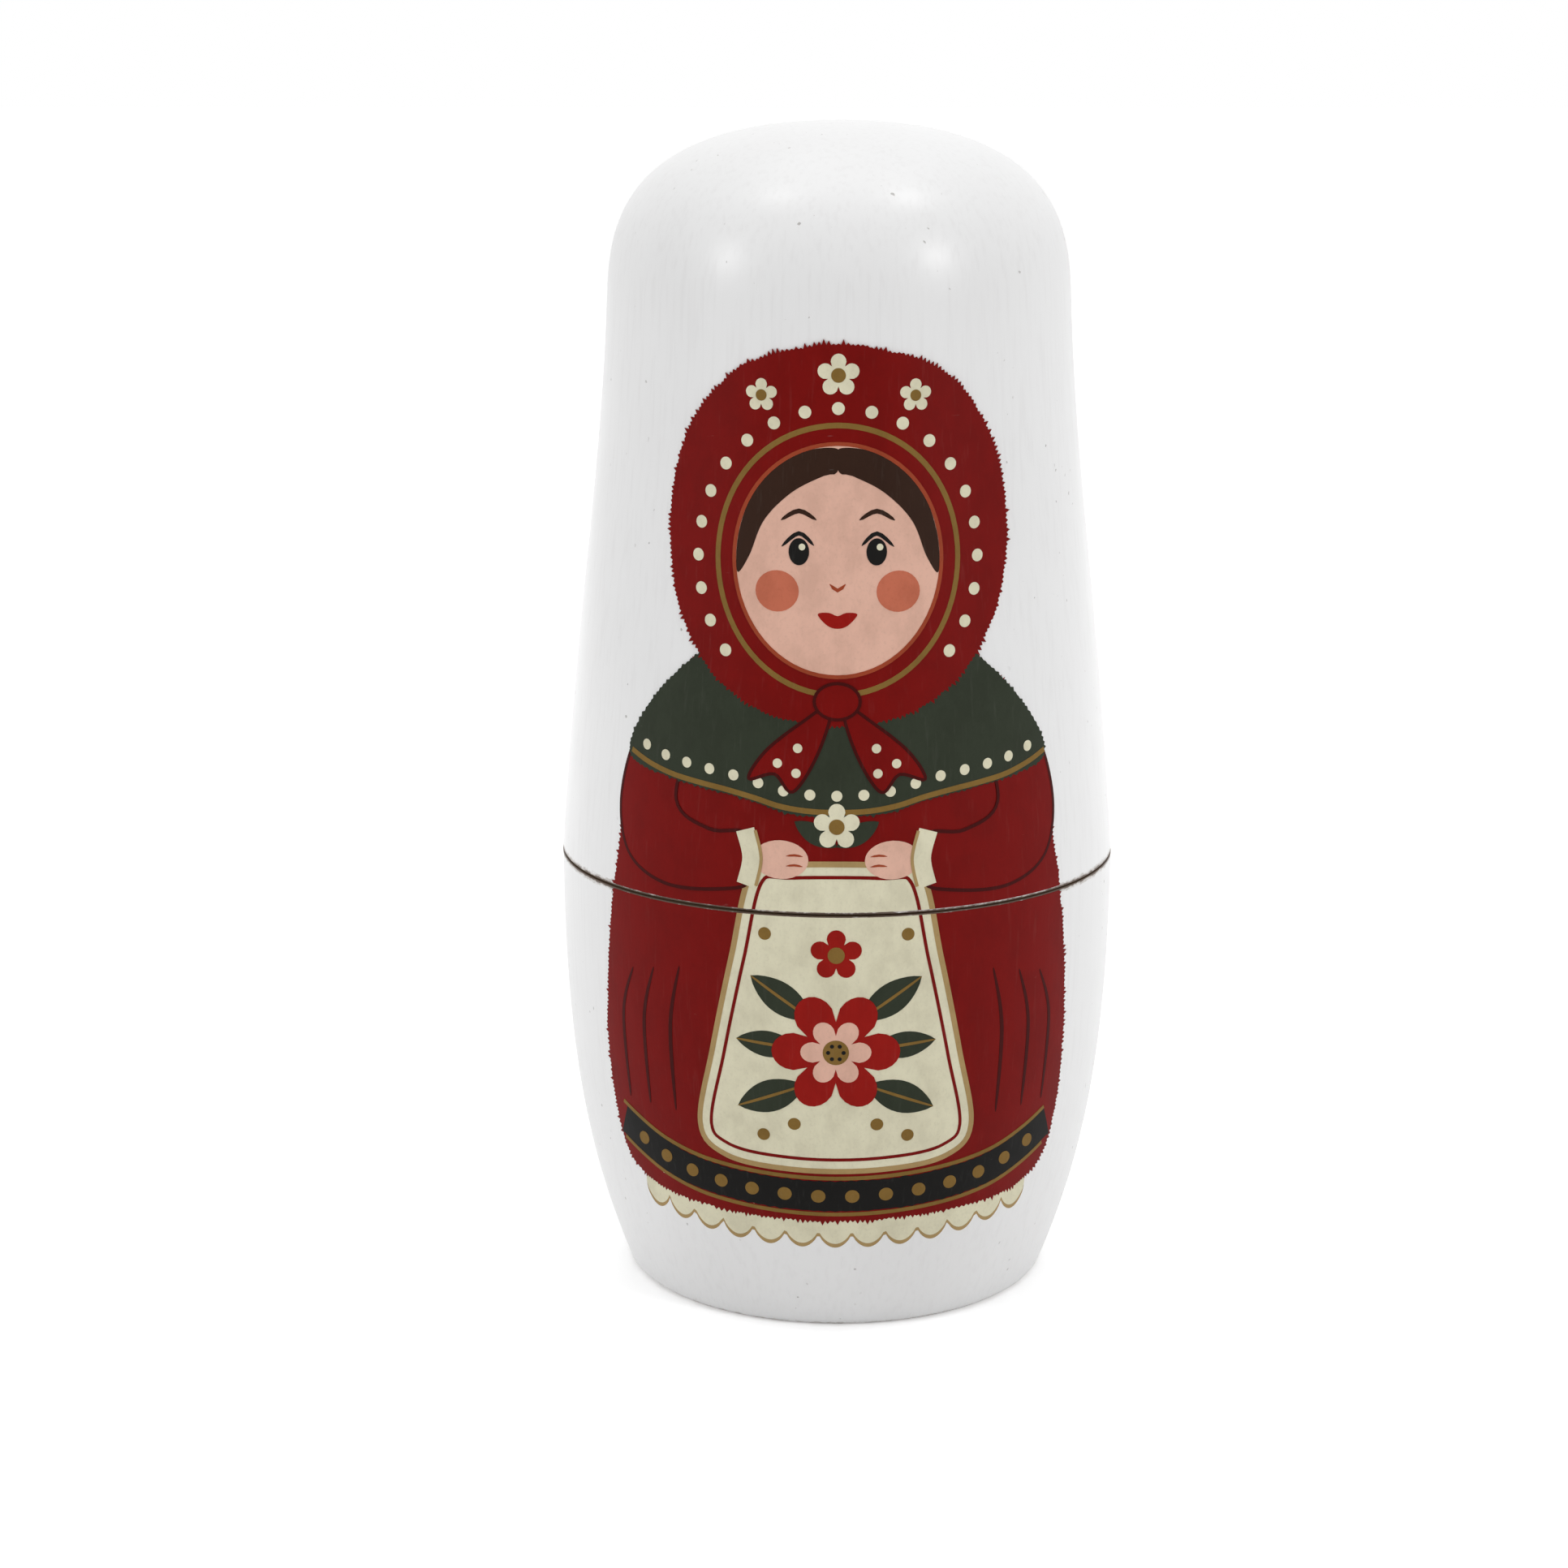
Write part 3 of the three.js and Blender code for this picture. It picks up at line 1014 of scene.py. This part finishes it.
def cutFilm(outline, low, high, cell):  # an outline as small faces, with only what lies between two heights
    least, most = outline.min(0), outline.max(0)
    for start in film["starts"]:  # the grid moves on if a cut goes wrong
        bm = bmesh.new()
        bm.faces.new([bm.verts.new((a, z, 0)) for a, z in outline])
        if least[1] < low:
            cutAcross(bm, 1, low, clear_inner=True)
        if most[1] > high:
            cutAcross(bm, 1, high, clear_outer=True)
        whole = areaOf(bm)
        for axis in (0, 1):
            for line in np.arange(math.floor(least[axis] / cell), math.ceil(most[axis] / cell)):
                cutAcross(bm, axis, line * cell + start)
        manySided = [face for face in bm.faces if len(face.verts) > 4]
        bmesh.ops.triangulate(bm, faces=manySided, ngon_method="EAR_CLIP")
        bm.verts.index_update()
        flat = np.array([v.co[:2] for v in bm.verts]).reshape(-1, 2)
        faces = [[v.index for v in face.verts] for face in bm.faces]
        sound = abs(areaOf(bm) - whole) < film["areaSlack"] * whole
        bm.free()
        if sound:
            break
    return flat, faces


wallSlope = np.gradient(outsideLine[:, 0]) / np.maximum(np.gradient(outsideLine[:, 1]), 1e-6)


def onDoll(flat, doll, height):  # flat drawing to the doll's front, proud by a height; also the way out
    radius = radiusAt(outsideLine, flat[:, 1])
    slope = np.interp(flat[:, 1], outsideLine[:, 1], wallSlope)
    angle = flat[:, 0] / radius
    ahead = np.stack([np.sin(angle), -np.cos(angle), np.zeros_like(angle)], 1)
    out = ahead - slope[:, None] * (0, 0, 1)
    out /= np.linalg.norm(out, axis=1, keepdims=True)
    place = (ahead * radius[:, None] + flat[:, 1:] * (0, 0, 1)) * doll["scale"]
    return (place + out * height + (0, 0, doll["base"])) * mm, out


def thicken(flat, cells, doll, height):  # a closed patch of paint, rooted as deep as it stands proud
    top, out = onDoll(flat, doll, height)
    root, _ = onDoll(flat, doll, -height)
    count = len(flat)
    sides = {(a, b) for cell in cells for a, b in zip(cell, cell[1:] + cell[:1])}
    rim = sorted((a, b) for a, b in sides if (b, a) not in sides)
    under = [[i + count for i in reversed(cell)] for cell in cells]
    walls = [[b, a, a + count, b + count] for a, b in rim]
    facing = [out[i] for cell in cells for i in cell]
    facing += [-out[i] for cell in cells for i in reversed(cell)]
    for a, b in rim:
        outwards = np.cross(top[b] - top[a], out[a])
        facing += [outwards / max(np.linalg.norm(outwards), 1e-12)] * 4
    return np.vstack([top, root]), cells + under + walls, facing


def paintFilm(name, doll, layers, low, high, body):
    verts, faces, facing, colours = [], [], [], []
    count = 0
    for number, layer in enumerate(layers):
        height = film["first"] + number * film["step"]
        for paint, outline in layer:
            if outline[:, 1].max() <= low or outline[:, 1].min() >= high:
                continue
            flat, cells = cutFilm(outline, low, high, film["cell"] / math.sqrt(doll["scale"]))
            if turning(outline) < 0:
                cells = [cell[::-1] for cell in cells]
            places, patch, patchFacing = thicken(flat, cells, doll, height)
            verts.append(places)
            faces += [[i + count for i in cell] for cell in patch]
            facing += patchFacing
            colours.append(np.tile(paints[paint], (len(places), 1)))
            count += len(places)
    mesh = bpy.data.meshes.new(name)
    mesh.from_pydata(np.vstack(verts).tolist(), [], faces)
    colour = mesh.attributes.new("paint", "FLOAT_COLOR", "POINT")
    colour.data.foreach_set("color", np.vstack(colours).astype(np.float32).ravel())
    mesh.materials.append(figurePaint)
    mesh.shade_smooth()
    mesh.normals_split_custom_set(np.array(facing).tolist())  # the film lies as smooth as the wood under it
    piece = addObject(name, mesh)
    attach(piece, body)
    return len(faces)


def paintDoll(doll):
    name, scale = doll["name"], doll["scale"]
    layers = paintedLayers({**outerColours, **otherColours[name]})
    if name == "smallest":
        return paintFilm("smallest_doll_figure", doll, layers, 0, dollShape["height"], "smallest")
    seam = (doll["seam"] - film["seamMargin"]) / scale
    rim = (doll["rim"] + film["seamMargin"]) / scale
    faces = paintFilm(f"{name}_bottom_figure", doll, layers, 0, seam, f"{name}_bottom")
    return faces + paintFilm(f"{name}_top_figure", doll, layers, rim, dollShape["height"], f"{name}_top")


for doll in (*dolls.values(), smallest):
    print("painted:", doll["name"], paintDoll(doll), "faces")


# floor, backdrop light and lamps

studio = {
    "floorColour": srgb(238, 238, 238),
    "floorHalf": 6.0,  # m
    "nearGlow": 0.42,  # what the floor adds to its own light for the camera, under the doll and far off
    "farGlow": 0.85,
    "glowReach": (0.08, 0.45),  # m from the middle of the foot
    "fill": 0.185,  # light from all round
    "aim": (0, 0, 0.12),
    "lamps": {  # direction from the aim, distance, width and height in m, watts
        "left": ((-0.75, -0.48, 0.30), 0.9, (0.1, 0.22), 1.25),
        "right": ((0.66, -0.55, 0.33), 0.9, (0.1, 0.22), 1.65),
        "topLeft": ((-0.36, -0.15, 0.92), 1.0, (0.11, 0.17), 0.75),
        "topRight": ((0.40, -0.15, 0.90), 1.0, (0.11, 0.17), 1.05),
    },
    "softLamps": {  # these don't show as highlights
        "wideLeft": ((-0.88, -0.38, 0.27), 1.2, (1.0, 1.0), 2.85),
        "wideRight": ((0.91, -0.33, 0.25), 1.2, (1.0, 1.0), 2.45),
        "overhead": ((0, 0.1, 1), 1.2, (1.0, 1.0), 6.6),
        "behind": ((0, 0.9, 0.35), 1.4, (0.7, 0.9), 3.8),
    },
}


def setUpFloor():
    half = studio["floorHalf"]
    corners = [(-half, -half, 0), (half, -half, 0), (half, half, 0), (-half, half, 0)]
    floor = addObject("floor", bpy.data.meshes.new("floor"))
    floor.data.from_pydata(corners, [], [(0, 1, 2, 3)])
    finish = Finish(
        "pale_floor",
        Base_Color=studio["floorColour"],
        Roughness=1.0,
        Specular_IOR_Level=0.0,
        Emission_Strength=1.0,
    )
    away = finish.node("ShaderNodeVectorMath", {"operation": "LENGTH"}, {0: finish.place((1, 1, 1))}, "Value")
    glow = studio["nearGlow"] + away.over(*studio["glowReach"]) * (studio["farGlow"] - studio["nearGlow"])
    light = finish.mix(finish.seen() * glow, (0, 0, 0, 1), (1, 1, 1, 1))
    floor.data.materials.append(finish.shade(Emission_Color=light))


def setUpBackdrop():
    world = bpy.data.worlds.new("studio")
    bpy.context.scene.world = world
    world.use_nodes = True
    board = Board(world.node_tree)
    background = world.node_tree.nodes["Background"]
    board.plug(background.inputs["Color"], (1, 1, 1, 1))
    board.plug(background.inputs["Strength"], board.seen() * (1 - studio["fill"]) + studio["fill"])


def setUpLamps():
    lamps = {**studio["lamps"], **studio["softLamps"]}
    for name, (direction, distance, size, watts) in lamps.items():
        lamp = addObject(f"lamp_{name}", bpy.data.lights.new(f"lamp_{name}", "AREA"))
        lamp.data.shape = "RECTANGLE"
        lamp.data.size, lamp.data.size_y = size
        lamp.data.energy = watts
        lamp.visible_glossy = name in studio["lamps"]
        towards = Vector(direction).normalized()
        lamp.location = Vector(studio["aim"]) + towards * distance
        pointAlong(lamp, -towards)


setUpFloor()
setUpBackdrop()
setUpLamps()
bpy.context.scene.view_settings.view_transform = "Standard"
print("studio: set")
